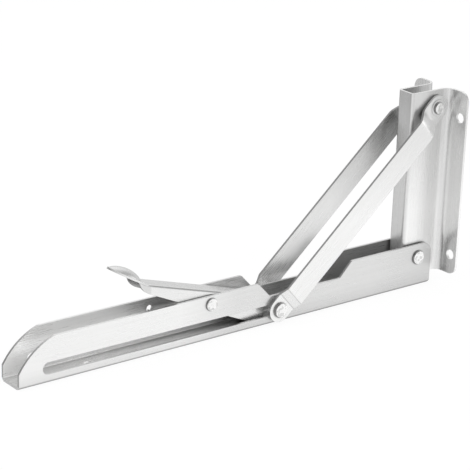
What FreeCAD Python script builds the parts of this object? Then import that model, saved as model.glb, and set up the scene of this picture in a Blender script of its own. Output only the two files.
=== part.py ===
import FreeCAD, Part
import math
import os

V = FreeCAD.Vector

# Folding bracket in millimetres. X runs from the wall (X = 0) to the arm's free end at -X.
# Near side is -Y. Heights are taken from the surface the arm's base stands on, and the
# finished pieces are then moved so that the middle of the wall screws is the origin.

# Arm: a U channel with its open side up
ARM_LENGTH = 400.0
ARM_WIDTH = 24.0
ARM_HEIGHT = 37.0
ARM_SHEET = 2.0
ARM_BEND = 1.5
ARM_TO_WALL = 12.0
ARM_TOP_CORNER = 9.0
ARM_LOW_CORNER = 3.0
TIP_WALL_HEIGHT = 12.5
TIP_SLOPE_LENGTH = 30.0
TIP_SLOPE_BULGE = 3.5
NOTCH_FLOOR = 24.3
NOTCH_BOTTOM_START = 111.0
NOTCH_BOTTOM_LENGTH = 71.5
NOTCH_SLOPE = 12.0
NOTCH_CORNER = 3.0
SLOT_HEIGHT = 9.6
SLOT_MIDDLE = 12.2
SLOT_TO_TIP = 25.0
LEAF_HOLE = 6.5
LEAF_HOLE_PLACES = [75.0, 140.0, 345.0, 385.0]
SPRING_HOLE = 5.5
SPRING_HOLE_FROM_WALL = 282.6
SPRING_HOLE_HEIGHT = 28.7

# Wall plate: a hat section
PLATE_SHEET = 2.0
PLATE_BOTTOM = 10.2
PLATE_HEIGHT = 156.8
PLATE_WIDTH = 63.0
PLATE_CORNER = 8.0
HAT_DEPTH = 41.0
HAT_SIDE_ROOM = 1.0
HAT_BEND = 1.5
FLANGE_BEND = 7.0
WALL_HOLE = 8.5
WALL_HOLE_ACROSS = 49.0
WALL_HOLE_FROM_BOTTOM = 16.8
WALL_HOLE_FROM_TOP = 22.0

# Pivots
ARM_PIVOT_FROM_WALL = 26.3
ARM_PIVOT_HEIGHT = 25.5
STRAP_PIVOT_FROM_WALL = 15.4
STRAP_PIVOT_FROM_TOP = 14.2
SLIDE_FROM_WALL = 174.5
LEVER_PIVOT_FROM_WALL = 240.0
LEVER_PIVOT_HEIGHT = 30.0

# Straps: flat bars with a joggle near each end
STRAP_WIDTH = 20.4
STRAP_SHEET = 2.0
STRAP_TOP_BEND = 8.0
STRAP_LOW_BEND = 2.0
STRAP_TOP_ROOM = 1.5
STRAP_MIDDLE_ROOM = 5.2
STRAP_LOW_ROOM = 1.55
TOP_JOGGLE_START = 11.5
TOP_JOGGLE_LENGTH = 10.5
LOW_JOGGLE_START = 8.5
LOW_JOGGLE_LENGTH = 7.5

# Pins, rivets and washers
RUNNING_GAP = 0.05
SIDE_GAP = 0.05
ARM_PIN_DIAMETER = 8.0
ARM_PIN_HEAD = 12.4
ARM_PIN_HEAD_HEIGHT = 1.8
ARM_WASHER = 14.0
STRAP_RIVET_DIAMETER = 8.0
STRAP_RIVET_HEAD = 10.4
STRAP_RIVET_HEAD_HEIGHT = 1.8
STRAP_WASHER = 14.0
STRAP_WASHER_SHEET = 0.6
INNER_HEAD = 11.0
INNER_HEAD_HEIGHT = 1.8
SLIDE_DIAMETER = 9.0
SLIDE_HEAD = 11.0
SLIDE_HEAD_SHEET = 1.2
SLIDE_RIVET_HEAD = 13.0
SLIDE_RIVET_HEAD_HEIGHT = 2.2
SLIDE_WASHER = 14.0
SLIDE_WALL_GAP = 0.1
STRAP_FACE_GAP = 0.15
LEVER_PIN_DIAMETER = 6.0
LEVER_PIN_HEAD = 10.7
LEVER_PIN_HEAD_HEIGHT = 1.4
SPACER_DIAMETER = 10.0

# Release lever: an inverted channel that narrows to the rear, with a domed finger pad
LEVER_SIDE_ROOM = 0.8
LEVER_REAR_STEP = 2.2
LEVER_SHEET = 1.5
LEVER_BEND = 1.2
LEVER_REAR = 185.0
LEVER_REAR_TOP = 24.2
LEVER_REAR_LOW = 2.1
LEVER_REAR_CORNER = 1.5
LEVER_TAPER_END = 234.0
LEVER_NECK = 297.0
LEVER_NECK_TOP = 57.1
LEVER_LOW_BEND = 193.0
LEVER_LOW_CORNER = 2.5
LEVER_FRONT = 305.5
LEVER_FRONT_LOW = 53.8
LEVER_FRONT_CORNER = 14.0
PAD_LENGTH = 34.8
PAD_TILT = 30.0
PAD_RISE = 4.6
PAD_LIP = 0.5
PAD_DOME_START = 2.5
PAD_NOSE_DOWN = 2.0
# The pad's dome is the cap of an ellipsoid; this share of its half height lies below the rim.
DOME_SUNK = 0.5

# Torsion spring on the lever pin
SPRING_WIRE = 1.3
SPRING_COIL = 9.2
SPRING_FULL_TURNS = 4
SPRING_PITCH = 1.5
SPRING_BEND = 2.0
SPRING_UNDER_WEB = 265.0

# The hat and the lever fit inside the arm, and the straps lie outside the hat and the arm
HALF_ARM = ARM_WIDTH / 2
ARM_INSIDE = HALF_ARM - ARM_SHEET
HALF_HAT = ARM_INSIDE - HAT_SIDE_ROOM
STRAP_TOP_FACE = HALF_HAT + STRAP_TOP_ROOM
STRAP_MIDDLE_FACE = HALF_ARM + STRAP_MIDDLE_ROOM
STRAP_LOW_FACE = HALF_ARM + STRAP_LOW_ROOM
HALF_LEVER = ARM_INSIDE - LEVER_SIDE_ROOM
LEVER_WIDTH = 2 * HALF_LEVER
ARM_TIP = ARM_TO_WALL + ARM_LENGTH
SLOT_END = ARM_TIP - SLOT_TO_TIP
PLATE_TOP = PLATE_BOTTOM + PLATE_HEIGHT
WALL_HOLE_LEVELS = [PLATE_BOTTOM + WALL_HOLE_FROM_BOTTOM, PLATE_TOP - WALL_HOLE_FROM_TOP]
WALL_HOLE_MIDDLE = sum(WALL_HOLE_LEVELS) / 2
ARM_PIVOT = V(-ARM_PIVOT_FROM_WALL, 0, ARM_PIVOT_HEIGHT)
STRAP_PIVOT = V(-STRAP_PIVOT_FROM_WALL, 0, PLATE_TOP - STRAP_PIVOT_FROM_TOP)
SLIDE_REST = V(-SLIDE_FROM_WALL, 0, SLOT_MIDDLE)
LEVER_PIVOT = V(-LEVER_PIVOT_FROM_WALL, 0, LEVER_PIVOT_HEIGHT)
LEVER_NECK_PLACE = V(-LEVER_NECK, 0, LEVER_NECK_TOP)
LEVER_REAR_PLACE = V(-LEVER_REAR, 0, LEVER_REAR_TOP)
SPRING_HOLE_PLACE = V(-SPRING_HOLE_FROM_WALL, 0, SPRING_HOLE_HEIGHT)
STRAP_LENGTH = (SLIDE_REST - STRAP_PIVOT).Length


def corner(before, at, after, radius):
    """Return the tangent points and arc of one rounded corner."""
    a = (before - at).normalize()
    b = (after - at).normalize()
    half = a.getAngle(b) / 2
    reach = radius / math.tan(half)
    middle = at + (a + b).normalize() * (radius / math.sin(half))
    top = middle + (at - middle).normalize() * radius
    return at + a * reach, top, at + b * reach


def outline(points, radii):
    """Closed flat face through points, with one corner radius per point."""
    edges = []
    ends = []
    count = len(points)
    for i in range(count):
        if radii[i] > 0:
            first, top, last = corner(points[i - 1], points[i], points[(i + 1) % count], radii[i])
            edges.append(Part.Arc(first, top, last).toShape())
            ends.append((first, last))
        else:
            ends.append((points[i], points[i]))
    for i in range(count):
        start = ends[i][1]
        stop = ends[(i + 1) % count][0]
        if (stop - start).Length > 1e-6:
            edges.append(Part.makeLine(start, stop))
    wire = Part.Wire(Part.__sortEdges__(edges))
    return Part.Face(wire)


def offset_path(path, normal, sheet):
    """Shift an open path sideways by the sheet thickness."""
    sides = []
    for i in range(len(path) - 1):
        sides.append((path[i + 1] - path[i]).normalize().cross(normal))
    shifted = [path[0] + sides[0] * sheet]
    for i in range(1, len(path) - 1):
        mean = (sides[i - 1] + sides[i]).normalize()
        shifted.append(path[i] + mean * (sheet / mean.dot(sides[i])))
    shifted.append(path[-1] + sides[-1] * sheet)
    return shifted


def bent_sheet(path, normal, sheet, bend):
    """Section of folded sheet: the path is one face, bend is the inside radius."""
    other = offset_path(path, normal, sheet)
    near_radii = [0]
    far_radii = [0]
    for i in range(1, len(path) - 1):
        turn = (path[i] - path[i - 1]).cross(path[i + 1] - path[i]).dot(normal)
        near_radii.append(bend[i] + (sheet if turn < 0 else 0))
        far_radii.append(bend[i] + (0 if turn < 0 else sheet))
    near_radii.append(0)
    far_radii.append(0)
    return outline(path + other[::-1], near_radii + far_radii[::-1])


def rod(radius, y_start, y_end, place):
    """Cylinder along Y at a place in the X Z plane."""
    low = min(y_start, y_end)
    high = max(y_start, y_end)
    return Part.makeCylinder(radius, high - low, V(place.x, low, place.z), V(0, 1, 0))


def domed_head(diameter, height, face, side, place):
    """Rivet head standing on a face, with a softened rim."""
    head = rod(diameter / 2, face, face + side * height, place)
    rims = []
    for edge in head.Edges:
        box = edge.BoundBox
        if abs(box.YMin - (face + side * height)) < 1e-6 and abs(box.YMax - box.YMin) < 1e-6:
            rims.append(edge)
    return head.makeFillet(height * 0.7, rims)


def washer(diameter, hole, y_start, y_end, place):
    ring = rod(diameter / 2, y_start, y_end, place)
    return ring.cut(rod(hole / 2, min(y_start, y_end) - 1, max(y_start, y_end) + 1, place))


def cross_prism(face, half_width):
    """Extrude a face lying in the X Z plane to both sides."""
    face.translate(V(0, -half_width, 0))
    return face.extrude(V(0, 2 * half_width, 0))


def arm_channel():
    top = ARM_HEIGHT
    path = [V(0, HALF_ARM, top), V(0, HALF_ARM, 0), V(0, -HALF_ARM, 0), V(0, -HALF_ARM, top)]
    section = bent_sheet(path, V(1, 0, 0), ARM_SHEET, [0, ARM_BEND, ARM_BEND, 0])
    section.translate(V(-ARM_TO_WALL, 0, 0))
    return section.extrude(V(-ARM_LENGTH, 0, 0))


def arm_side():
    """Side outline of the arm with its notch."""
    deep_start = NOTCH_BOTTOM_START
    deep_end = deep_start + NOTCH_BOTTOM_LENGTH
    points = [
        V(-ARM_TO_WALL, 0, 0),
        V(-ARM_TO_WALL, 0, ARM_HEIGHT),
        V(-deep_start + NOTCH_SLOPE, 0, ARM_HEIGHT),
        V(-deep_start, 0, NOTCH_FLOOR),
        V(-deep_end, 0, NOTCH_FLOOR),
        V(-deep_end - NOTCH_SLOPE, 0, ARM_HEIGHT),
        V(-ARM_TIP, 0, ARM_HEIGHT),
        V(-ARM_TIP, 0, 0),
    ]
    soft = NOTCH_CORNER
    radii = [ARM_LOW_CORNER, ARM_TOP_CORNER, soft, soft, soft, soft, 0, 0]
    return cross_prism(outline(points, radii), HALF_ARM + 1)


def tip_cut():
    """Corner piece outside the rounded slope at the free end."""
    rise = ARM_HEIGHT - TIP_WALL_HEIGHT
    chord = math.hypot(TIP_SLOPE_LENGTH, rise)
    radius = (chord ** 2 / 4 + TIP_SLOPE_BULGE ** 2) / (2 * TIP_SLOPE_BULGE)
    inward = V(rise, 0, -TIP_SLOPE_LENGTH).normalize()
    middle = V(-ARM_TIP + TIP_SLOPE_LENGTH / 2, 0, TIP_WALL_HEIGHT + rise / 2)
    centre = middle + inward * (radius - TIP_SLOPE_BULGE)
    corner_block = Part.makeBox(
        TIP_SLOPE_LENGTH + 1, ARM_WIDTH + 2, rise + 1,
        V(-ARM_TIP - 1, -HALF_ARM - 1, TIP_WALL_HEIGHT))
    return corner_block.cut(rod(radius, -HALF_ARM - 2, HALF_ARM + 2, centre))


def slide_slot():
    half = SLOT_HEIGHT / 2
    length = SLOT_END - SLIDE_FROM_WALL
    wide = ARM_WIDTH + 2
    bar = Part.makeBox(length, wide, SLOT_HEIGHT, V(-SLOT_END, -wide / 2, SLOT_MIDDLE - half))
    slot = bar.fuse(rod(half, -wide / 2, wide / 2, SLIDE_REST))
    return slot.fuse(rod(half, -wide / 2, wide / 2, V(-SLOT_END, 0, SLOT_MIDDLE)))


def make_arm():
    arm = arm_channel().common(arm_side())
    arm = arm.cut(tip_cut())
    arm = arm.cut(slide_slot())
    hole = ARM_PIN_DIAMETER / 2 + RUNNING_GAP
    arm = arm.cut(rod(hole, -HALF_ARM - 1, HALF_ARM + 1, ARM_PIVOT))
    hole = LEVER_PIN_DIAMETER / 2 + RUNNING_GAP
    arm = arm.cut(rod(hole, -HALF_ARM - 1, HALF_ARM + 1, LEVER_PIVOT))
    for place in LEAF_HOLE_PLACES:
        drill = Part.makeCylinder(LEAF_HOLE / 2, ARM_SHEET + 2, V(-place, 0, -1), V(0, 0, 1))
        arm = arm.cut(drill)
    return arm.cut(rod(SPRING_HOLE / 2, ARM_INSIDE - 1, HALF_ARM + 1, SPRING_HOLE_PLACE))


def make_wall_plate():
    """Hat section stood on end, with rounded flange corners."""
    sheet = PLATE_SHEET
    half = PLATE_WIDTH / 2
    path = [
        V(-sheet, -half, 0), V(-sheet, -HALF_HAT, 0), V(-HAT_DEPTH, -HALF_HAT, 0),
        V(-HAT_DEPTH, HALF_HAT, 0), V(-sheet, HALF_HAT, 0), V(-sheet, half, 0),
    ]
    bends = [0, FLANGE_BEND, HAT_BEND, HAT_BEND, FLANGE_BEND, 0]
    section = bent_sheet(path, V(0, 0, 1), sheet, bends)
    section.translate(V(0, 0, PLATE_BOTTOM))
    plate = section.extrude(V(0, 0, PLATE_HEIGHT))
    low = PLATE_BOTTOM
    top = PLATE_TOP
    corners = [V(1, -half, low), V(1, half, low), V(1, half, top), V(1, -half, top)]
    front = outline(corners, [PLATE_CORNER] * 4)
    plate = plate.common(front.extrude(V(-HAT_DEPTH - 2, 0, 0)))
    for side in (-1, 1):
        for level in WALL_HOLE_LEVELS:
            start = V(1, side * WALL_HOLE_ACROSS / 2, level)
            plate = plate.cut(Part.makeCylinder(WALL_HOLE / 2, sheet + 4, start, V(-1, 0, 0)))
    hole = ARM_PIN_DIAMETER / 2 + RUNNING_GAP
    plate = plate.cut(rod(hole, -HALF_HAT - 1, HALF_HAT + 1, ARM_PIVOT))
    hole = STRAP_RIVET_DIAMETER / 2 + RUNNING_GAP
    return plate.cut(rod(hole, -HALF_HAT - 1, HALF_HAT + 1, STRAP_PIVOT))


def make_strap(side):
    """Joggled bar built along +X with its outward side at +Y, then laid from pivot to slide."""
    radius = STRAP_WIDTH / 2
    low_end = STRAP_LENGTH - LOW_JOGGLE_START
    path = [
        V(-radius, STRAP_TOP_FACE, 0),
        V(TOP_JOGGLE_START, STRAP_TOP_FACE, 0),
        V(TOP_JOGGLE_START + TOP_JOGGLE_LENGTH, STRAP_MIDDLE_FACE, 0),
        V(low_end - LOW_JOGGLE_LENGTH, STRAP_MIDDLE_FACE, 0),
        V(low_end, STRAP_LOW_FACE, 0),
        V(STRAP_LENGTH + radius, STRAP_LOW_FACE, 0),
    ]
    bends = [0, STRAP_TOP_BEND, STRAP_TOP_BEND, STRAP_LOW_BEND, STRAP_LOW_BEND, 0]
    section = bent_sheet(path, V(0, 0, -1), STRAP_SHEET, bends)
    section.translate(V(0, 0, -radius))
    bar = section.extrude(V(0, 0, 2 * radius))
    shape = Part.makeBox(STRAP_LENGTH, 40, 2 * radius, V(0, 0, -radius))
    for middle in (0, STRAP_LENGTH):
        shape = shape.fuse(Part.makeCylinder(radius, 40, V(middle, 0, 0), V(0, 1, 0)))
    bar = bar.common(shape)
    for middle in (0, STRAP_LENGTH):
        hole = STRAP_RIVET_DIAMETER / 2 + RUNNING_GAP
        bar = bar.cut(Part.makeCylinder(hole, 40, V(middle, 0, 0), V(0, 1, 0)))
    run = SLIDE_REST - STRAP_PIVOT
    angle = math.degrees(math.atan2(-run.z, run.x))
    bar.rotate(V(0, 0, 0), V(0, 1, 0), angle)
    bar.translate(STRAP_PIVOT)
    if side < 0:
        bar = bar.mirror(V(0, 0, 0), V(0, 1, 0))
    return bar


def lever_side():
    """Side outline of the lever's walls; the web trims it above."""
    over = LEVER_NECK_TOP + PAD_LENGTH
    points = [
        V(-LEVER_REAR, 0, LEVER_REAR_LOW),
        V(-LEVER_REAR, 0, over),
        V(-LEVER_FRONT, 0, over),
        V(-LEVER_FRONT, 0, LEVER_FRONT_LOW),
        V(-LEVER_LOW_BEND, 0, LEVER_REAR_LOW),
    ]
    radii = [LEVER_REAR_CORNER, 0, 0, LEVER_FRONT_CORNER, LEVER_LOW_CORNER]
    return cross_prism(outline(points, radii), LEVER_WIDTH)


def lever_tilt():
    """Slope of the web in degrees, up towards the pad."""
    rise = LEVER_NECK_TOP - LEVER_REAR_TOP
    return math.degrees(math.atan2(rise, LEVER_NECK - LEVER_REAR))


def lever_section(along, half):
    """Outline of the channel's section at a distance along its web."""
    deep = -LEVER_NECK_TOP
    path = [V(0, half, deep), V(0, half, 0), V(0, -half, 0), V(0, -half, deep)]
    section = bent_sheet(path, V(-1, 0, 0), LEVER_SHEET, [0, LEVER_BEND, LEVER_BEND, 0])
    section.translate(V(along, 0, 0))
    return section.OuterWire


def laid(shape, place, tilt):
    """Lay a shape that runs along -X from the origin on a rising line."""
    shape.rotate(V(0, 0, 0), V(0, 1, 0), tilt)
    shape.translate(place)
    return shape


def lever_channel():
    """Channel along the sloping web, then a short one in line with the pad."""
    rear_half = HALF_LEVER - LEVER_REAR_STEP
    slant = math.cos(math.radians(lever_tilt()))
    taper = (LEVER_TAPER_END - LEVER_REAR) / slant
    length = (LEVER_NECK - LEVER_REAR) / slant
    past = LEVER_SHEET
    stations = [(LEVER_REAR_TOP, rear_half), (0, rear_half)]
    stations += [(-taper, HALF_LEVER), (-length - past, HALF_LEVER)]
    rear = Part.makeLoft([lever_section(*station) for station in stations], True, True)
    front_stations = [(past, HALF_LEVER), (-PAD_LENGTH / 2, HALF_LEVER)]
    front = Part.makeLoft([lever_section(*station) for station in front_stations], True, True)
    laid(rear, LEVER_REAR_PLACE, lever_tilt())
    laid(front, LEVER_NECK_PLACE, PAD_TILT)
    return rear.fuse(front).common(lever_side())


def ellipsoid(long_half, wide_half, rise):
    grow = FreeCAD.Matrix()
    grow.scale(V(long_half, wide_half, rise))
    return Part.makeSphere(1).transformGeometry(grow)


def pad_dome(inset, low):
    """Cap of an ellipsoid above a level; the inset gives the inner face of the sheet."""
    share = math.sqrt(1 - DOME_SUNK ** 2)
    height = PAD_RISE / (1 - DOME_SUNK)
    long_half = ((PAD_LENGTH - PAD_DOME_START) / 2 - PAD_LIP) / share - inset
    wide_half = (HALF_LEVER - PAD_LIP) / share - inset
    ball = ellipsoid(long_half, wide_half, height - inset)
    ball.rotate(V(0, 0, 0), V(0, 1, 0), -PAD_NOSE_DOWN)
    ball.translate(V(-(PAD_LENGTH + PAD_DOME_START) / 2, 0, -DOME_SUNK * height))
    above = Part.makeBox(
        3 * PAD_LENGTH, 2 * LEVER_WIDTH, height, V(-2 * PAD_LENGTH, -LEVER_WIDTH, low))
    return ball.common(above)


def pad_rim():
    """Flat rim of the pad: as wide as the lever, rounded at the tip."""
    middle = PAD_LENGTH / 2
    oval = Part.Ellipse(V(0, 0, 0), middle, HALF_LEVER).toShape()
    face = Part.Face(Part.Wire(oval))
    face.translate(V(-middle, 0, -LEVER_SHEET))
    plate = face.extrude(V(0, 0, LEVER_SHEET))
    corner = V(-middle, -HALF_LEVER, -LEVER_SHEET)
    return plate.fuse(Part.makeBox(middle, LEVER_WIDTH, LEVER_SHEET, corner))


def make_lever():
    pad = laid(pad_rim().fuse(pad_dome(0, 0)), LEVER_NECK_PLACE, PAD_TILT)
    hollow = laid(pad_dome(LEVER_SHEET, -2 * LEVER_SHEET), LEVER_NECK_PLACE, PAD_TILT)
    lever = lever_channel().fuse(pad).cut(hollow)
    hole = LEVER_PIN_DIAMETER / 2 + RUNNING_GAP
    return lever.cut(rod(hole, -LEVER_WIDTH, LEVER_WIDTH, LEVER_PIVOT)).removeSplitter()


def headed_pin(diameter, head, head_height, place):
    """Through pin with a head outside each wall of the arm."""
    pin = rod(diameter / 2, -HALF_ARM, HALF_ARM, place)
    for side in (-1, 1):
        pin = pin.fuse(domed_head(head, head_height, side * HALF_ARM, side, place))
    return pin.removeSplitter()


def make_strap_rivet(side):
    """Short rivet from inside the hat, through the strap and a washer."""
    outer_face = STRAP_TOP_FACE + STRAP_SHEET + STRAP_WASHER_SHEET
    inner_face = HALF_HAT - PLATE_SHEET
    radius = STRAP_RIVET_DIAMETER / 2
    rivet = rod(radius, side * inner_face, side * outer_face, STRAP_PIVOT)
    inside = inner_face - INNER_HEAD_HEIGHT
    rivet = rivet.fuse(rod(INNER_HEAD / 2, side * inside, side * inner_face, STRAP_PIVOT))
    head = domed_head(STRAP_RIVET_HEAD, STRAP_RIVET_HEAD_HEIGHT, side * outer_face, side, STRAP_PIVOT)
    return rivet.fuse(head).removeSplitter()


def make_slide_stud(side):
    """Stud that runs in the arm's slot, with a flat head inside the channel."""
    inner = ARM_INSIDE - SIDE_GAP
    outer = STRAP_LOW_FACE - STRAP_FACE_GAP
    stud = rod(SLIDE_DIAMETER / 2, side * inner, side * outer, SLIDE_REST)
    head = rod(SLIDE_HEAD / 2, side * (inner - SLIDE_HEAD_SHEET), side * inner, SLIDE_REST)
    return stud.fuse(head).removeSplitter()


def make_slide_rivet(side):
    """Rivet end that carries the strap on the slide."""
    start = STRAP_LOW_FACE
    outer = STRAP_LOW_FACE + STRAP_SHEET
    rivet = rod(STRAP_RIVET_DIAMETER / 2, side * start, side * outer, SLIDE_REST)
    head = domed_head(SLIDE_RIVET_HEAD, SLIDE_RIVET_HEAD_HEIGHT, side * outer, side, SLIDE_REST)
    return rivet.fuse(head).removeSplitter()


def tangent_angle(target, radius, side):
    """Angle about the lever pin where a line to the target leaves a circle."""
    reach = target - LEVER_PIVOT
    return math.atan2(reach.z, reach.x) + side * math.acos(radius / reach.Length)


def bent_wire(points, bend):
    """Round wire along straight runs joined by arcs."""
    edges = []
    start = points[0]
    for i in range(1, len(points) - 1):
        first, top, last = corner(points[i - 1], points[i], points[i + 1], bend)
        edges.append(Part.makeLine(start, first))
        edges.append(Part.Arc(first, top, last).toShape())
        start = last
    edges.append(Part.makeLine(start, points[-1]))
    circle = Part.makeCircle(SPRING_WIRE / 2, points[0], points[1] - points[0])
    return Part.Wire(edges).makePipeShell([Part.Wire(circle)], True, True)


def spring_coil(start_angle, turn):
    """Close coil round the lever pin, from the near end at the start angle."""
    radius = SPRING_COIL / 2
    height = SPRING_PITCH * turn / (2 * math.pi)
    circle = Part.makeCircle(SPRING_WIRE / 2, V(radius, 0, 0), V(0, 1, 0))
    helix = Part.Wire(Part.makeHelix(SPRING_PITCH, height, radius))
    coil = helix.makePipeShell([Part.Wire(circle)], True, True)
    coil.translate(V(0, 0, -height / 2))
    coil.rotate(V(0, 0, 0), V(1, 0, 0), -90)
    coil.rotate(V(0, 0, 0), V(0, 1, 0), -math.degrees(start_angle))
    coil.translate(LEVER_PIVOT)
    return coil


def make_spring():
    """Torsion spring: the near leg bears under the lever's web, the far one in the arm's hole."""
    radius = SPRING_COIL / 2
    half_wire = SPRING_WIRE / 2
    slope = math.radians(lever_tilt())
    web = LEVER_REAR_TOP + (SPRING_UNDER_WEB - LEVER_REAR) * math.tan(slope)
    below = (LEVER_SHEET + half_wire + SIDE_GAP) / math.cos(slope)
    bearing = V(-SPRING_UNDER_WEB, 0, web - below)
    in_hole = SPRING_HOLE_PLACE - V(0, 0, SPRING_HOLE / 2 - half_wire - SIDE_GAP)
    start_angle = tangent_angle(bearing, radius, -1)
    end_angle = tangent_angle(in_hole, radius, 1) - 2 * math.pi
    turn = start_angle - end_angle + 2 * math.pi * SPRING_FULL_TURNS
    side = V(0, SPRING_PITCH * turn / (4 * math.pi), 0)
    near_start = LEVER_PIVOT + V(math.cos(start_angle), 0, math.sin(start_angle)) * radius - side
    far_start = LEVER_PIVOT + V(math.cos(end_angle), 0, math.sin(end_angle)) * radius + side
    near_leg = bent_wire([near_start, bearing - side], SPRING_BEND)
    hooked = [far_start, in_hole + side, in_hole + V(0, HALF_ARM, 0)]
    far_leg = bent_wire(hooked, SPRING_BEND)
    spring = spring_coil(start_angle, turn).fuse(near_leg).fuse(far_leg)
    for joint in (near_start, far_start):
        spring = spring.fuse(Part.makeSphere(half_wire, joint))
    return spring


def paired(build, name, parts):
    for side, word in ((-1, "near"), (1, "far")):
        parts[name + "_" + word] = build(side)


def pivot_washer(side):
    low = side * (HALF_HAT + SIDE_GAP)
    high = side * (ARM_INSIDE - SIDE_GAP)
    return washer(ARM_WASHER, ARM_PIN_DIAMETER + 4 * RUNNING_GAP, low, high, ARM_PIVOT)


def strap_washer(side):
    low = STRAP_TOP_FACE + STRAP_SHEET
    high = side * (low + STRAP_WASHER_SHEET)
    hole = STRAP_RIVET_DIAMETER + 4 * RUNNING_GAP
    return washer(STRAP_WASHER, hole, side * low, high, STRAP_PIVOT)


def strap_spacer(side):
    low = side * (HALF_HAT + SIDE_GAP)
    high = side * (STRAP_TOP_FACE - SIDE_GAP)
    return washer(STRAP_WASHER, STRAP_RIVET_DIAMETER + 4 * RUNNING_GAP, low, high, STRAP_PIVOT)


def slide_washer(side):
    low = side * (HALF_ARM + SLIDE_WALL_GAP)
    high = side * (STRAP_LOW_FACE - STRAP_FACE_GAP)
    return washer(SLIDE_WASHER, SLIDE_DIAMETER + 4 * RUNNING_GAP, low, high, SLIDE_REST)


def lever_spacer(side):
    low = side * (HALF_LEVER + SIDE_GAP)
    high = side * (ARM_INSIDE - SIDE_GAP)
    return washer(SPACER_DIAMETER, LEVER_PIN_DIAMETER + 4 * RUNNING_GAP, low, high, LEVER_PIVOT)


def build_parts():
    parts = {
        "wall_plate": make_wall_plate(),
        "arm": make_arm(),
        "release_lever": make_lever(),
        "arm_pin": headed_pin(ARM_PIN_DIAMETER, ARM_PIN_HEAD, ARM_PIN_HEAD_HEIGHT, ARM_PIVOT),
        "lever_pin": headed_pin(
            LEVER_PIN_DIAMETER, LEVER_PIN_HEAD, LEVER_PIN_HEAD_HEIGHT, LEVER_PIVOT),
        "lever_spring": make_spring(),
    }
    paired(make_strap, "strap", parts)
    paired(make_strap_rivet, "strap_rivet", parts)
    paired(strap_washer, "strap_washer", parts)
    paired(strap_spacer, "strap_spacer", parts)
    paired(pivot_washer, "pivot_washer", parts)
    paired(make_slide_stud, "slide_stud", parts)
    paired(make_slide_rivet, "slide_rivet", parts)
    paired(slide_washer, "slide_washer", parts)
    paired(lever_spacer, "lever_spacer", parts)
    return parts


os.makedirs("parts", exist_ok=True)
for name, shape in build_parts().items():
    shape.translate(V(0, 0, -WALL_HOLE_MIDDLE))
    shape.exportStep(os.path.join("parts", name + ".step"))
    print(name, len(shape.Solids), shape.isValid(), round(shape.Volume, 1))
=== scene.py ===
import math

import bmesh
import bpy
from mathutils import Matrix, Vector


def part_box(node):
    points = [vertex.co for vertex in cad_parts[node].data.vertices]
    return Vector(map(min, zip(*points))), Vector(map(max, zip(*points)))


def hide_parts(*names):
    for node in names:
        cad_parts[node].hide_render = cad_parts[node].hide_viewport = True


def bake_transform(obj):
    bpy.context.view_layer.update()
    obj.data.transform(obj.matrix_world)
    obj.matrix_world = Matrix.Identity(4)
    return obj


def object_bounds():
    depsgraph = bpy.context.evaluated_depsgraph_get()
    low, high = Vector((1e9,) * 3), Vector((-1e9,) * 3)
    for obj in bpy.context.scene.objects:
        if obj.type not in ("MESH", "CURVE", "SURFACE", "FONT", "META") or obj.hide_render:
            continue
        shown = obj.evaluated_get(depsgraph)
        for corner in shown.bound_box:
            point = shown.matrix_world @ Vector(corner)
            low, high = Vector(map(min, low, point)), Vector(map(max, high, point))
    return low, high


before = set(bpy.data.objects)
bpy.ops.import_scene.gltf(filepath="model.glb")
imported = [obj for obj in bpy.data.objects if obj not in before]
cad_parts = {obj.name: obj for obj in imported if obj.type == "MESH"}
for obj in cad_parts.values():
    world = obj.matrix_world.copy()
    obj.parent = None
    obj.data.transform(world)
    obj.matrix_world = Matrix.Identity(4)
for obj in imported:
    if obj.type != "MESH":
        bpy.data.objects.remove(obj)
CAD_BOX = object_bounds()

LENGTHWISE = Vector((1.0, 0.0, 0.0))
ACROSS = Vector((0.0, 1.0, 0.0))
UPRIGHT = Vector((0.0, 0.0, 1.0))

# Camera, in metres in the bracket's frame: its place, and its own backward and upward axes
CAMERA_PLACE = Vector((-1.09117, -1.12724, 0.51043))
CAMERA_BACK = Vector((-0.57885, -0.74062, 0.34120))
CAMERA_UP = Vector((0.18276, 0.28995, 0.93943))
CAMERA_LENS = 151.17
CAMERA_SENSOR = 36.0
CAMERA_CLIP = (0.05, 50.0)

# Light: plain white for sight, an even sky for the floor, and a studio of soft white panels that
# the metal mirrors. Each panel has a direction, the cosine at which it starts to show, and its
# strength.
WHITE = (1.0, 1.0, 1.0, 1.0)
SIGHT_STRENGTH = 1.0
SKY_DIFFUSE = 0.95
STUDIO_BASE = 0.22
STUDIO_PANELS = (
    (Vector((0.56, -0.76, -0.27)), 0.40, 0.74),
    (Vector((-0.72, -0.60, -0.30)), 0.55, 0.55),
    (Vector((-0.60, 0.60, -0.60)), 0.70, 0.40),
    (Vector((0.60, 0.74, 0.20)), 0.45, 0.42),
    (Vector((0.10, 0.30, 0.95)), 0.40, 0.40),
    (Vector((1.00, -0.15, -0.08)), 0.84, 0.55),
    (Vector((0.20, 0.00, -1.00)), 0.55, 0.42))
# Each lamp has a name, a place from the bracket's middle, its two sides and its power
SOFTBOXES = (
    ("key_softbox", Vector((0.7, -1.5, 1.1)), (1.4, 1.0), 14.0),
    ("top_softbox", Vector((-0.4, 0.2, 1.8)), (1.6, 1.6), 10.0))
FLOOR_SIZE = 14.0
FLOOR_COLOUR = (0.9, 0.9, 0.9, 1.0)
FLOOR_ROUGHNESS = 0.9
FLOOR_WHITE_SHARE = 0.93

# Grain of the brushed sheet: noise drawn out along the grain, with its scale, detail and roughness
GRAIN_SQUEEZE = 0.02
FINE_GRAIN = (2600.0, 3.0, 0.6)
BROAD_GRAIN_SCALE = 420.0
CLOUD_SCALE = 22.0
DENT_SCALE = 380.0
DENT_DETAIL = 1.0
NOISE_MIDDLE = 0.5
NOISE_SPAN = (0.3, 0.7)
GRAIN_HEIGHT = 0.00004
GRAIN_STRENGTH = 0.25

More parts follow.
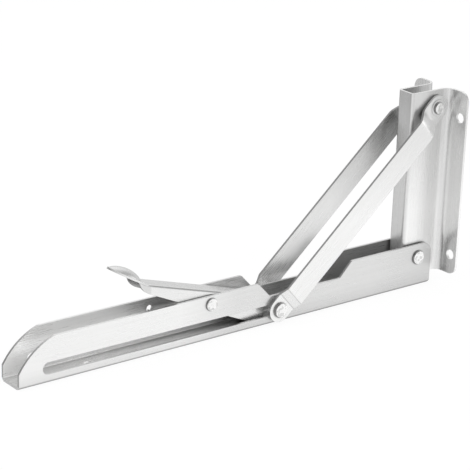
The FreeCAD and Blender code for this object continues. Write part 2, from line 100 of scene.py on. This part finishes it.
# Tone of the sheet: how far grain and clouds move it, the painted highlight on sharp edges and the
# painted shade in crevices
FINE_SWING = 1.6
BROAD_SWING = 2.0
CLOUD_SWING = 0.04
EDGE_PAINTED_HIGHLIGHT = 0.06
CREVICE_PAINTED_SHADE = 0.65
LIGHTEST_TONE = 1.0
BLUE_SHARE = 0.995

# Lustre of the sheet: shares of metal, and how far grain, clouds and edges move its roughness
METAL_SHARE = 0.85
MATT_SHARE = 0.65
ANISOTROPY = 0.45
GRAIN_ROUGHENS = 0.05
CLOUD_ROUGHENS = 0.03
EDGE_SMOOTHS = 0.08

# Reach of the edge and crevice masks, and the rays that each takes
EDGE_RADIUS = 0.0003
EDGE_SAMPLES = 4
CREVICE_REACH = 0.0015
CREVICE_SAMPLES = 8

# Height where the plate's shading is full, and the shaded gap behind the straps' joggles
PLATE_SHADE_TOP = 0.075
STRAP_GAP_REACH = 0.005
STRAP_GAP_TOP = 0.063
STRAP_GAP_FADE = 0.005

# The arm's web lies below this height, and the faces of its channel within this half width
WEB_TOP = CAD_BOX[0].z + 0.0025
WEB_FADE = 0.0005
ARM_INSIDE = 0.0101
ARM_INSIDE_FADE = 0.0001
# Painted shade on its sheet, darker from near the lever's pin towards the wall end and at its lower
# bends: share of the tone along X and Z
ARM_PAINTED_SHADE = ((-0.27, 1.0), (-0.215, 0.84), (-0.08, 0.82), (-0.02, 0.76))
ARM_LOW_PAINTED_SHADE = ((-0.0845, 0.84), (-0.078, 0.93), (-0.070, 1.0))
# Shade that the lever throws on the inside of the arm, on its walls and low in the channel
WALL_SHADE = (
    (-0.305, 1.0), (-0.283, 0.70), (-0.245, 0.6), (-0.220, 0.95), (-0.190, 0.90), (-0.160, 0.62))
LOW_SHADE = (
    (-0.390, 0.62), (-0.360, 0.66), (-0.340, 0.70), (-0.280, 0.75), (-0.260, 0.70),
    (-0.222, 0.46), (-0.200, 0.16), (-0.188, 0.08), (-0.165, 0.8))
LOW_SHADE_TOP = CAD_BOX[0].z + 0.012
LOW_SHADE_FADE = 0.004

# The straps' tone along Z, darker towards the top, and the creases of their lower joggle, painted as
# lines of shade, from the slide's pivot along them
STRAP_TONE_ALONG_Z = ((-0.01, 1.0), (0.05, 0.86))
STRAP_CREASES = (0.0088, 0.0150)
CREASE_HALF = 0.0005
# Slope of their upper joggle: its foot, and the end of its painted highlight, back from the hat's
# pivot
STRAP_SLOPE_FOOT = 0.0215
STRAP_SLOPE_END = 0.0085

# Torsion spring, as in the part: its pin, the place of each leg's end and its wire
SPRING_PIN = Vector((-0.240, 0.0, -0.056))
SPRING_BEARING = Vector((-0.265, 0.0, -0.040593))
SPRING_IN_HOLE = Vector((-0.2826, 0.0, -0.05935))
SPRING_HOOK_END = 0.012
SPRING_WIRE = 0.0013
SPRING_COIL = 0.0092
SPRING_PITCH = 0.0015
SPRING_FULL_TURNS = 4
SPRING_HOOK_RADIUS = 0.002
SPRING_HOOK_STEPS = 8
SPRING_STEPS_A_TURN = 48
SPRING_SIDES = 14

WASHER_KINDS = ("strap_washer", "strap_spacer", "pivot_washer", "slide_washer", "lever_spacer")


def centre(node):
    low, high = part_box(node)
    return (low + high) / 2


class Graph:
    """A node tree with short ways to add nodes."""

    def __init__(self, tree):
        self.tree = tree

    def add(self, kind, **settings):
        node = self.tree.nodes.new(kind)
        for key, value in settings.items():
            setattr(node, key, value)
        return node

    def feed(self, target, value):
        """Link an input to a socket, or set it to a plain value."""
        if isinstance(value, bpy.types.NodeSocket):
            self.tree.links.new(value, target)
        else:
            target.default_value = value

    def math(self, operation, first, second=0.0):
        node = self.add("ShaderNodeMath", operation=operation)
        self.feed(node.inputs[0], first)
        self.feed(node.inputs[1], second)
        return node.outputs[0]

    def product(self, first, *others):
        for other in others:
            first = self.math("MULTIPLY", first, other)
        return first

    def size(self, value):
        """The value without its sign."""
        return self.math("ABSOLUTE", value)

    def opposite(self, mask):
        """One where the mask is 0, and 0 where it is 1."""
        return self.math("SUBTRACT", 1.0, mask)

    def dot(self, first, second):
        node = self.add("ShaderNodeVectorMath", operation="DOT_PRODUCT")
        self.feed(node.inputs[0], first)
        self.feed(node.inputs[1], second)
        return node.outputs["Value"]

    def remap(self, value, from_low, from_high, to_low, to_high):
        node = self.add("ShaderNodeMapRange")
        self.feed(node.inputs["Value"], value)
        self.feed(node.inputs["From Min"], from_low)
        self.feed(node.inputs["From Max"], from_high)
        self.feed(node.inputs["To Min"], to_low)
        self.feed(node.inputs["To Max"], to_high)
        return node.outputs["Result"]

    def fade(self, value, none, full):
        """Mask that is 0 where the value is none, and 1 where it is full."""
        return self.remap(value, none, full, 0.0, 1.0)

    def tint(self, mask, share):
        """Factor that is 1 where the mask is 0, and the share where it is 1."""
        return self.remap(mask, 0.0, 1.0, 1.0, share)

    def blend(self, share, first, second):
        """First where the share is 0, and second where it is 1."""
        mix = self.add("ShaderNodeMix")
        self.feed(mix.inputs["Factor"], share)
        self.feed(mix.inputs["A"], first)
        self.feed(mix.inputs["B"], second)
        return mix.outputs["Result"]

    def either_ray(self, *kinds):
        """One for rays of any of the named kinds."""
        path = self.add("ShaderNodeLightPath").outputs
        seen = path[kinds[0]]
        for kind in kinds[1:]:
            seen = self.math("MAXIMUM", seen, path[kind])
        return seen


class Shader(Graph):
    """A material's nodes, with each point's place and normal at rest, in the bracket's frame."""

    def __init__(self, name):
        self.material = bpy.data.materials.new(name)
        self.material.use_nodes = True
        super().__init__(self.material.node_tree)
        self.surface = self.tree.nodes["Principled BSDF"].inputs
        self.place = self.add("ShaderNodeTexCoord").outputs
        self.position = self.split(self.place["Object"])
        self.normal = self.split(self.place["Normal"])

    def split(self, vector):
        node = self.add("ShaderNodeSeparateXYZ")
        self.feed(node.inputs[0], vector)
        return node.outputs

    def noise(self, vector, scale, detail=2.0, roughness=0.5):
        node = self.add("ShaderNodeTexNoise")
        self.feed(node.inputs["Vector"], vector)
        self.feed(node.inputs["Scale"], scale)
        self.feed(node.inputs["Detail"], detail)
        self.feed(node.inputs["Roughness"], roughness)
        return node.outputs["Fac"]

    def openness(self, reach):
        """One on open faces, less where other faces are within this reach."""
        node = self.add("ShaderNodeAmbientOcclusion", samples=CREVICE_SAMPLES)
        self.feed(node.inputs["Distance"], reach)
        return node.outputs["AO"]


# Masks of all the sheet

def sharp_edges(shader):
    """The rounded normal, and a mask of where it leaves the face's own normal."""
    rounded = shader.add("ShaderNodeBevel", samples=EDGE_SAMPLES)
    shader.feed(rounded.inputs["Radius"], EDGE_RADIUS)
    face = shader.add("ShaderNodeNewGeometry")
    alike = shader.dot(rounded.outputs["Normal"], face.outputs["Normal"])
    return rounded.outputs["Normal"], shader.fade(alike, none=0.99, full=0.75)


def crevices(shader):
    """Mask of painted shade: one deep in gaps and inner corners, 0 on open faces."""
    return shader.fade(shader.openness(CREVICE_REACH), none=0.85, full=0.25)


def facing_middle(shader):
    """One on faces that look towards the bracket's middle plane."""
    side = shader.math("SIGN", shader.position["Y"])
    return shader.fade(shader.product(side, shader.normal["Y"]), none=-0.3, full=-0.8)


def underside(shader):
    """One on faces that look down."""
    return shader.fade(shader.normal["Z"], none=-0.15, full=-0.45)


def sloping_cuts(shader):
    """One on the cut edges of upright sheet where they slope or stand, 0 where they lie level."""
    cut = shader.fade(shader.size(shader.normal["Y"]), none=0.5, full=0.3)
    slope = shader.fade(shader.size(shader.normal["X"]), none=0.2, full=0.55)
    above_web = shader.fade(shader.position["Z"], none=WEB_TOP, full=WEB_TOP + WEB_FADE)
    return shader.product(cut, slope, above_web)


# Masks of the wall plate

def strap_gap(shader):
    """One on the hat's sides close behind the straps' top joggles."""
    deep = shader.fade(shader.openness(STRAP_GAP_REACH), none=0.85, full=0.45)
    side = shader.fade(shader.size(shader.normal["Y"]), none=0.5, full=0.9)
    clear_of_flange = shader.fade(shader.position["X"], none=-0.016, full=-0.024)
    low = shader.fade(shader.position["Z"], none=STRAP_GAP_TOP + STRAP_GAP_FADE, full=STRAP_GAP_TOP)
    return shader.product(deep, side, clear_of_flange, low)


def crown_height(shader):
    """Zero on the lower half of the hat's crown, rising to one near its top."""
    crown = shader.fade(shader.normal["X"], none=-0.8, full=-0.95)
    between_flanges = shader.fade(shader.size(shader.position["Y"]), none=0.013, full=0.012)
    height = shader.fade(shader.position["Z"], none=0.03, full=PLATE_SHADE_TOP)
    return shader.product(crown, between_flanges, height)


def side_height(shader):
    """Zero low on the hat's sides, rising to one near their top."""
    side = shader.fade(shader.size(shader.normal["Y"]), none=0.6, full=0.9)
    height = shader.fade(shader.position["Z"], none=-0.02, full=PLATE_SHADE_TOP)
    return shader.product(side, height)


def flange_face(shader):
    """One on the flat of the flanges."""
    flat = shader.fade(shader.normal["X"], none=-0.9, full=-0.98)
    outside_hat = shader.fade(shader.size(shader.position["Y"]), none=0.016, full=0.018)
    return shader.product(flat, outside_hat)


# Masks of the arm

def lower_bends(shader):
    """One on the outside of the arm's lower bends, 0 on its flat leaf face."""
    bent = shader.fade(shader.normal["Z"], none=-0.99, full=-0.90)
    return shader.product(underside(shader), bent)


def inside_arm(shader):
    """One on all that the arm's channel encloses."""
    away = shader.size(shader.position["Y"])
    return shader.fade(away, none=ARM_INSIDE + ARM_INSIDE_FADE, full=ARM_INSIDE)


def inside_tip(shader):
    """One on the inside of the arm's free end."""
    tip = shader.fade(shader.position["X"], none=-0.385, full=-0.400)
    return shader.product(inside_arm(shader), tip)


def low_in_arm(shader):
    """One low inside the arm's channel."""
    low = shader.fade(shader.position["Z"], none=LOW_SHADE_TOP + LOW_SHADE_FADE, full=LOW_SHADE_TOP)
    return shader.product(inside_arm(shader), low)


def wall_beside_slot(shader):
    """One on the arm's walls up to the lever's rear, 0 on the channel's floor and bends."""
    wall = shader.fade(shader.size(shader.normal["Y"]), none=0.6, full=0.8)
    before_lever_rear = shader.fade(shader.position["X"], none=-0.200, full=-0.215)
    return shader.product(wall, before_lever_rear)


def wall_shade(shader):
    """How far the lever shades the upper inside of the arm."""
    high = shader.fade(shader.position["Z"], none=LOW_SHADE_TOP, full=LOW_SHADE_TOP + LOW_SHADE_FADE)
    shade = shader.opposite(tone_along(shader, "X", WALL_SHADE))
    return shader.product(inside_arm(shader), high, shade)


def low_shade(shader):
    """How far the lever shades the bottom of the channel."""
    shade = shader.opposite(tone_along(shader, "X", LOW_SHADE))
    off_the_walls = shader.opposite(wall_beside_slot(shader))
    return shader.product(low_in_arm(shader), shade, off_the_walls)


# Masks of the straps

def strap_run():
    """Place of the slide's pivot, and the way from there to the hat's pivot as seen from the side."""
    low = centre("slide_stud_near")
    run = centre("strap_rivet_near") - low
    run.y = 0.0
    return low, run


def along_strap(shader):
    """Distance from the slide's pivot along the strap, and the distance between its two pivots."""
    low, run = strap_run()
    direction = run.normalized()
    along = shader.dot(shader.place["Object"], direction)
    return shader.math("SUBTRACT", along, low.dot(direction)), run.length


def strap_crease(distance):
    """Mask of a thin line of painted shade across the straps, this far from the slide's pivot."""
    def mask(shader):
        away = shader.math("SUBTRACT", along_strap(shader)[0], distance)
        return shader.fade(shader.size(away), none=CREASE_HALF, full=CREASE_HALF / 2)

    return mask


def strap_top_slope(shader):
    """Mask of the painted highlight: one at the foot of the upper joggle's slope, fading to 0 by the
    hat's pivot.
    """
    along, length = along_strap(shader)
    foot = length - STRAP_SLOPE_FOOT
    rise = shader.fade(along, none=foot - CREASE_HALF, full=foot + CREASE_HALF)
    return shader.product(rise, shader.fade(along, none=length - STRAP_SLOPE_END, full=foot))


def strap_edges(shader):
    """One on the long cut edges of the straps."""
    clear_of_hat = shader.fade(shader.position["X"], none=-0.024, full=-0.030)
    return shader.product(sloping_cuts(shader), clear_of_hat)


def strap_top_inside(shader):
    """One on the inner faces of the straps' top ends."""
    top = shader.fade(shader.position["X"], none=-0.10, full=-0.035)
    return shader.product(facing_middle(shader), top)


def strap_low_inside(shader):
    """One on the inner faces of the straps' low ends."""
    low = shader.fade(shader.position["X"], none=-0.11, full=-0.14)
    return shader.product(facing_middle(shader), low)


# Masks of the lever and the rivets

def pad_corner(shader):
    """One on the rear corners of the finger pad's rim."""
    wide = shader.fade(shader.size(shader.position["Y"]), none=0.0088, full=0.0090)
    behind_pad = shader.fade(shader.position["X"], none=-0.306, full=-0.303)
    before_web = shader.fade(shader.position["X"], none=-0.2945, full=-0.2955)
    return shader.product(wide, behind_pad, before_web)


def lever_crease(shader):
    """One along the bend between the lever's web and its sides."""
    up = shader.fade(shader.normal["Z"], none=0.35, full=0.55)
    aside = shader.fade(shader.size(shader.normal["Y"]), none=0.5, full=0.65)
    behind_pad = shader.fade(shader.position["X"], none=-0.298, full=-0.292)
    return shader.product(up, aside, behind_pad)


def head_rim(shader):
    """One round the foot of a rivet's dome."""
    return shader.fade(shader.size(shader.normal["Y"]), none=0.90, full=0.84)


def head_rim_front(shader):
    """One on the part of that rim that looks towards the arm's free end."""
    return shader.product(head_rim(shader), shader.fade(shader.normal["X"], none=0.1, full=-0.2))


def hammer_marks(shader):
    """One in the small dents of a hammered rivet head."""
    dents = shader.noise(shader.place["Object"], DENT_SCALE, DENT_DETAIL)
    return shader.fade(dents, none=0.52, full=0.60)


# Brushed steel

def grain_space(shader, grain):
    """Object coordinates turned so that X runs along the grain, and shortened along it."""
    turn = shader.add("ShaderNodeVectorRotate", rotation_type="Y_AXIS")
    shader.feed(turn.inputs["Vector"], shader.place["Object"])
    shader.feed(turn.inputs["Angle"], math.atan2(grain.z, grain.x))
    squeeze = shader.add("ShaderNodeMapping")
    shader.feed(squeeze.inputs["Vector"], turn.outputs["Vector"])
    shader.feed(squeeze.inputs["Scale"], (GRAIN_SQUEEZE, 1.0, 1.0))
    return squeeze.outputs["Vector"]


def tone_along(shader, axis, stops):
    """Smooth factor along one axis of the bracket, through pairs of place and factor."""
    factor = stops[0][1]
    for (place_from, low), (place_to, high) in zip(stops, stops[1:]):
        step = shader.remap(shader.position[axis], place_from, place_to, 1.0, high / low)
        factor = shader.product(step, factor)
    return factor


def vary(shader, level, noise, amount):
    """Level moved up and down by a noise."""
    offset = shader.math("SUBTRACT", noise, NOISE_MIDDLE)
    return shader.math("ADD", level, shader.product(offset, amount))


def vary_roughness(shader, level, noise, amount):
    """Level moved by the middle span of a noise, by this amount at most either way."""
    return shader.math("ADD", level, shader.remap(noise, *NOISE_SPAN, -amount, amount))


def brushed_steel(name, tone, grain, roughness=0.30, streaks=0.05, tints=(), tone_gradients=(), matt=None):
    """Brushed metal: tints pair a mask with its tone, and the gradients pair an axis with its stops;
    most of them paint shade or light into the colour.
    """
    shader = Shader(name)
    surface = shader.surface
    along = grain_space(shader, grain)
    fine = shader.noise(along, *FINE_GRAIN)
    broad = shader.noise(along, BROAD_GRAIN_SCALE)
    cloud = shader.noise(shader.place["Object"], CLOUD_SCALE)
    rounded, edge = sharp_edges(shader)

    level = vary(shader, tone, fine, streaks * FINE_SWING)
    level = vary(shader, level, broad, streaks * BROAD_SWING)
    level = vary(shader, level, cloud, CLOUD_SWING)
    # Painted highlight along sharp edges
    level = shader.math("ADD", level, shader.product(edge, EDGE_PAINTED_HIGHLIGHT))
    # Painted shade deep in gaps and inner corners
    level = shader.product(level, shader.tint(crevices(shader), CREVICE_PAINTED_SHADE))
    # Tints and gradients, most of them painted shade or painted light
    for mask, share in tints:
        level = shader.product(level, shader.tint(mask(shader), share))
    for axis, stops in tone_gradients:
        level = shader.product(level, tone_along(shader, axis, stops))
    level = shader.math("MINIMUM", level, LIGHTEST_TONE)
    colour = shader.add("ShaderNodeCombineColor")
    shader.feed(colour.inputs["Red"], level)
    shader.feed(colour.inputs["Green"], level)
    shader.feed(colour.inputs["Blue"], shader.product(level, BLUE_SHARE))
    shader.feed(surface["Base Color"], colour.outputs["Color"])

    rough = vary_roughness(shader, roughness, fine, GRAIN_ROUGHENS)
    rough = vary_roughness(shader, rough, cloud, CLOUD_ROUGHENS)
    rough = shader.math("SUBTRACT", rough, shader.product(edge, EDGE_SMOOTHS))
    shader.feed(surface["Roughness"], rough)
    shader.feed(surface["Metallic"], METAL_SHARE)
    if matt:
        shader.feed(surface["Metallic"], shader.remap(matt(shader), 0.0, 1.0, METAL_SHARE, MATT_SHARE))

    bump = shader.add("ShaderNodeBump")
    shader.feed(bump.inputs["Strength"], GRAIN_STRENGTH)
    shader.feed(bump.inputs["Distance"], GRAIN_HEIGHT)
    shader.feed(bump.inputs["Height"], fine)
    shader.feed(bump.inputs["Normal"], rounded)
    shader.feed(surface["Normal"], bump.outputs["Normal"])

    direction = shader.add(
        "ShaderNodeVectorTransform", vector_type="VECTOR", convert_from="OBJECT", convert_to="WORLD")
    shader.feed(direction.inputs["Vector"], grain)
    shader.feed(surface["Tangent"], direction.outputs["Vector"])
    shader.feed(surface["Anisotropic"], ANISOTROPY)
    return shader.material


def dress(material, *nodes):
    for name in nodes:
        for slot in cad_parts[name].material_slots:
            slot.material = material


def dress_plate():
    # Painted shade: darker on faces towards the middle, deep in the gap behind the straps' joggles,
    # towards the top of the crown and the sides, and on the flanges
    tints = (
        (facing_middle, 0.75), (strap_gap, 0.25), (crown_height, 0.70), (side_height, 0.72),
        (flange_face, 0.88))
    dress(brushed_steel("plate_steel", 0.95, UPRIGHT, tints=tints), "wall_plate")


def dress_arm():
    # Painted shade on the sloping cut edges, the lower bends and the whole inside, the lever's shade
    # from wall_shade and low_shade, and painted light inside the free end and low in the channel
    tints = (
        (sloping_cuts, 0.6), (lower_bends, 0.65), (inside_arm, 0.94), (inside_tip, 1.18),
        (low_in_arm, 1.35), (wall_shade, 0.0), (low_shade, 0.0))
    # Painted shade: the arm darker towards the wall end and low on its bends
    tone_gradients = (("X", ARM_PAINTED_SHADE), ("Z", ARM_LOW_PAINTED_SHADE))
    steel = brushed_steel(
        "arm_steel", 0.9, LENGTHWISE, streaks=0.035, tints=tints, tone_gradients=tone_gradients, matt=inside_arm)
    dress(steel, "arm")


def dress_straps():
    # Painted shade on the cut edges, the inner faces, the top ends' inner faces and the lower joggle's
    # creases, and a painted highlight on the upper joggle's slope
    tints = [(strap_edges, 0.45), (facing_middle, 0.92), (strap_top_inside, 0.7)]
    tints += [(strap_crease(distance), 0.75) for distance in STRAP_CREASES]
    tints.append((strap_top_slope, 1.28))
    grain = -strap_run()[1].normalized()
    steel = brushed_steel(
        "strap_steel", 0.9, grain, streaks=0.035, tints=tints, tone_gradients=[("Z", STRAP_TONE_ALONG_Z)],
        matt=strap_low_inside)
    dress(steel, "strap_near", "strap_far")


def dress_lever():
    low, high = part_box("release_lever")
    grain = Vector((low.x - high.x, 0.0, (high.z - low.z) / 2)).normalized()
    # Painted shade on the underside, the inner faces, the rear corners of the pad's rim and the crease
    # between the web and the sides
    tints = ((underside, 0.5), (facing_middle, 0.55), (pad_corner, 0.85), (lever_crease, 0.7))
    steel = brushed_steel("lever_steel", 0.85, grain, roughness=0.26, tints=tints)
    dress(steel, "release_lever")


def dress_small_parts():
    rivets = ["arm_pin", "lever_pin"]
    washers = []
    for side in ("near", "far"):
        rivets += ["strap_rivet_" + side, "slide_rivet_" + side, "slide_stud_" + side]
        washers += [kind + "_" + side for kind in WASHER_KINDS]
    # Painted shade round the foot of each rivet's dome, stronger on the side towards the arm's free
    # end
    tints = ((head_rim, 0.7), (head_rim_front, 0.5), (hammer_marks, 0.78))
    dress(brushed_steel("rivet_steel", 0.92, UPRIGHT, roughness=0.16, tints=tints), *rivets)
    dress(brushed_steel("washer_steel", 0.8, UPRIGHT), *washers)


# Torsion spring

def tangent_angle(target, radius, side):
    """Angle about the lever pin where a line to the target leaves a circle."""
    reach = target - SPRING_PIN
    return math.atan2(reach.z, reach.x) + side * math.acos(radius / math.hypot(reach.x, reach.z))


def spring_coil(radius, start_angle, turn, half):
    """Close coil about the lever pin, from its near end to its far end."""
    steps = int(turn / math.tau * SPRING_STEPS_A_TURN)
    coil = []
    for i in range(steps + 1):
        angle = start_angle - turn * i / steps
        place = -half + 2 * half * i / steps
        coil.append(SPRING_PIN + Vector((math.cos(angle) * radius, place, math.sin(angle) * radius)))
    return coil


def spring_hook(start, hook):
    """Bend from the far leg, which comes from start, into the hole in the arm, and its end there."""
    run = (hook - start).normalized()
    middle = hook + (ACROSS - run) * SPRING_HOOK_RADIUS
    bend = []
    for i in range(SPRING_HOOK_STEPS + 1):
        angle = math.pi / 2 * i / SPRING_HOOK_STEPS
        bend.append(middle + (run * math.sin(angle) - ACROSS * math.cos(angle)) * SPRING_HOOK_RADIUS)
    return bend + [Vector((hook.x, SPRING_HOOK_END, hook.z))]


def spring_path():
    """Middle line of the spring, near leg, coil and hooked far leg, and half its coil's length."""
    radius = SPRING_COIL / 2
    start_angle = tangent_angle(SPRING_BEARING, radius, -1)
    end_angle = tangent_angle(SPRING_IN_HOLE, radius, 1) - math.tau
    turn = start_angle - end_angle + math.tau * SPRING_FULL_TURNS
    half = SPRING_PITCH * turn / math.tau / 2
    coil = spring_coil(radius, start_angle, turn, half)
    hook = spring_hook(coil[-1], SPRING_IN_HOLE + ACROSS * half)
    return [SPRING_BEARING - ACROSS * half] + coil + hook, half


def wire_mesh(name, path, radius, sides):
    """Round wire swept along a path, with closed ends."""
    mesh = bmesh.new()
    rings = []
    normal = ACROSS
    for i, point in enumerate(path):
        ahead = (path[min(i + 1, len(path) - 1)] - path[max(i - 1, 0)]).normalized()
        normal = (normal - ahead * normal.dot(ahead)).normalized()
        other = ahead.cross(normal)
        ring = []
        for k in range(sides):
            angle = math.tau * k / sides
            spoke = normal * math.cos(angle) + other * math.sin(angle)
            ring.append(mesh.verts.new(point + spoke * radius))
        rings.append(ring)
    for first, second in zip(rings, rings[1:]):
        for k in range(sides):
            after = (k + 1) % sides
            mesh.faces.new((first[k], first[after], second[after], second[k]))
    mesh.faces.new(rings[0][::-1])
    mesh.faces.new(rings[-1])
    bmesh.ops.recalc_face_normals(mesh, faces=mesh.faces)
    for face in mesh.faces:
        face.smooth = len(face.verts) == 4
    data = bpy.data.meshes.new(name)
    mesh.to_mesh(data)
    mesh.free()
    piece = bpy.data.objects.new(name, data)
    bpy.context.scene.collection.objects.link(piece)
    return piece


def make_spring(material):
    """Spring whose near leg bears on the lever and whose far end sits in the arm, in place of the
    part's own spring.
    """
    path, half = spring_path()
    spring = wire_mesh("torsion_spring", path, SPRING_WIRE / 2, SPRING_SIDES)
    spring.data.materials.append(material)
    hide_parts("lever_spring")
    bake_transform(spring)


# Studio

def studio_panels(graph):
    """Brightness that reflections see: the base level and every soft panel."""
    view = graph.add("ShaderNodeTexCoord").outputs["Generated"]
    total = STUDIO_BASE
    for direction, from_cosine, strength in STUDIO_PANELS:
        panel = graph.add("ShaderNodeMapRange", interpolation_type="SMOOTHSTEP")
        graph.feed(panel.inputs["Value"], graph.dot(view, direction.normalized()))
        graph.feed(panel.inputs["From Min"], from_cosine)
        graph.feed(panel.inputs["To Max"], strength)
        total = graph.math("ADD", panel.outputs["Result"], total)
    return total


def make_world():
    """Surroundings: white for sight, the panels for reflections and an even sky for soft light."""
    world = bpy.data.worlds.new("studio")
    bpy.context.scene.world = world
    world.use_nodes = True
    graph = Graph(world.node_tree)
    background = graph.tree.nodes["Background"]
    graph.feed(background.inputs["Color"], WHITE)
    strength = graph.blend(graph.either_ray("Is Glossy Ray"), SKY_DIFFUSE, studio_panels(graph))
    in_sight = graph.either_ray("Is Camera Ray", "Is Transmission Ray")
    graph.feed(background.inputs["Strength"], graph.blend(in_sight, strength, SIGHT_STRENGTH))


def paper_material():
    """Paper that takes soft shade, and glows for sight so that it stays nearly white."""
    material = bpy.data.materials.new("floor_paper")
    material.use_nodes = True
    graph = Graph(material.node_tree)
    paper = graph.tree.nodes["Principled BSDF"]
    graph.feed(paper.inputs["Base Color"], FLOOR_COLOUR)
    graph.feed(paper.inputs["Roughness"], FLOOR_ROUGHNESS)
    graph.feed(paper.inputs["Specular IOR Level"], 0.0)
    glow = graph.add("ShaderNodeEmission")
    in_sight = graph.either_ray("Is Camera Ray", "Is Glossy Ray", "Is Transmission Ray")
    mix = graph.add("ShaderNodeMixShader")
    graph.feed(mix.inputs["Fac"], graph.product(in_sight, FLOOR_WHITE_SHARE))
    graph.feed(mix.inputs[1], paper.outputs["BSDF"])
    graph.feed(mix.inputs[2], glow.outputs["Emission"])
    graph.feed(graph.tree.nodes["Material Output"].inputs["Surface"], mix.outputs["Shader"])
    return material


def make_floor():
    low, high = CAD_BOX
    bpy.ops.mesh.primitive_plane_add(size=FLOOR_SIZE, location=(low.x / 2, 0.0, low.z))
    floor = bpy.context.object
    floor.name = "floor"
    floor.data.materials.append(paper_material())
    floor.visible_glossy = False


def make_softboxes():
    """Area lamps that look at the bracket's middle and don't show in its reflections."""
    middle = (CAD_BOX[0] + CAD_BOX[1]) / 2
    for name, offset, sides, power in SOFTBOXES:
        lamp = bpy.data.lights.new(name, "AREA")
        lamp.shape = "RECTANGLE"
        lamp.size, lamp.size_y = sides
        lamp.energy = power
        holder = bpy.data.objects.new(name, lamp)
        bpy.context.scene.collection.objects.link(holder)
        holder.location = middle + offset
        holder.rotation_mode = "QUATERNION"
        holder.rotation_quaternion = (-offset).to_track_quat("-Z", "Y")
        holder.visible_glossy = False


def make_camera():
    lens = bpy.data.cameras.new("camera")
    lens.sensor_width = CAMERA_SENSOR
    lens.lens = CAMERA_LENS
    lens.clip_start, lens.clip_end = CAMERA_CLIP
    camera = bpy.data.objects.new("camera", lens)
    bpy.context.scene.collection.objects.link(camera)
    right = CAMERA_UP.cross(CAMERA_BACK).normalized()
    up = CAMERA_BACK.cross(right).normalized()
    turn = Matrix((right, up, CAMERA_BACK.normalized())).transposed()
    camera.matrix_world = Matrix.Translation(CAMERA_PLACE) @ turn.to_4x4()
    bpy.context.scene.camera = camera


dress_plate()
dress_arm()
dress_straps()
dress_lever()
dress_small_parts()
make_spring(brushed_steel("spring_steel", 0.7, UPRIGHT, roughness=0.24))
make_world()
make_floor()
make_softboxes()
make_camera()
bpy.context.scene.view_settings.view_transform = "Standard"
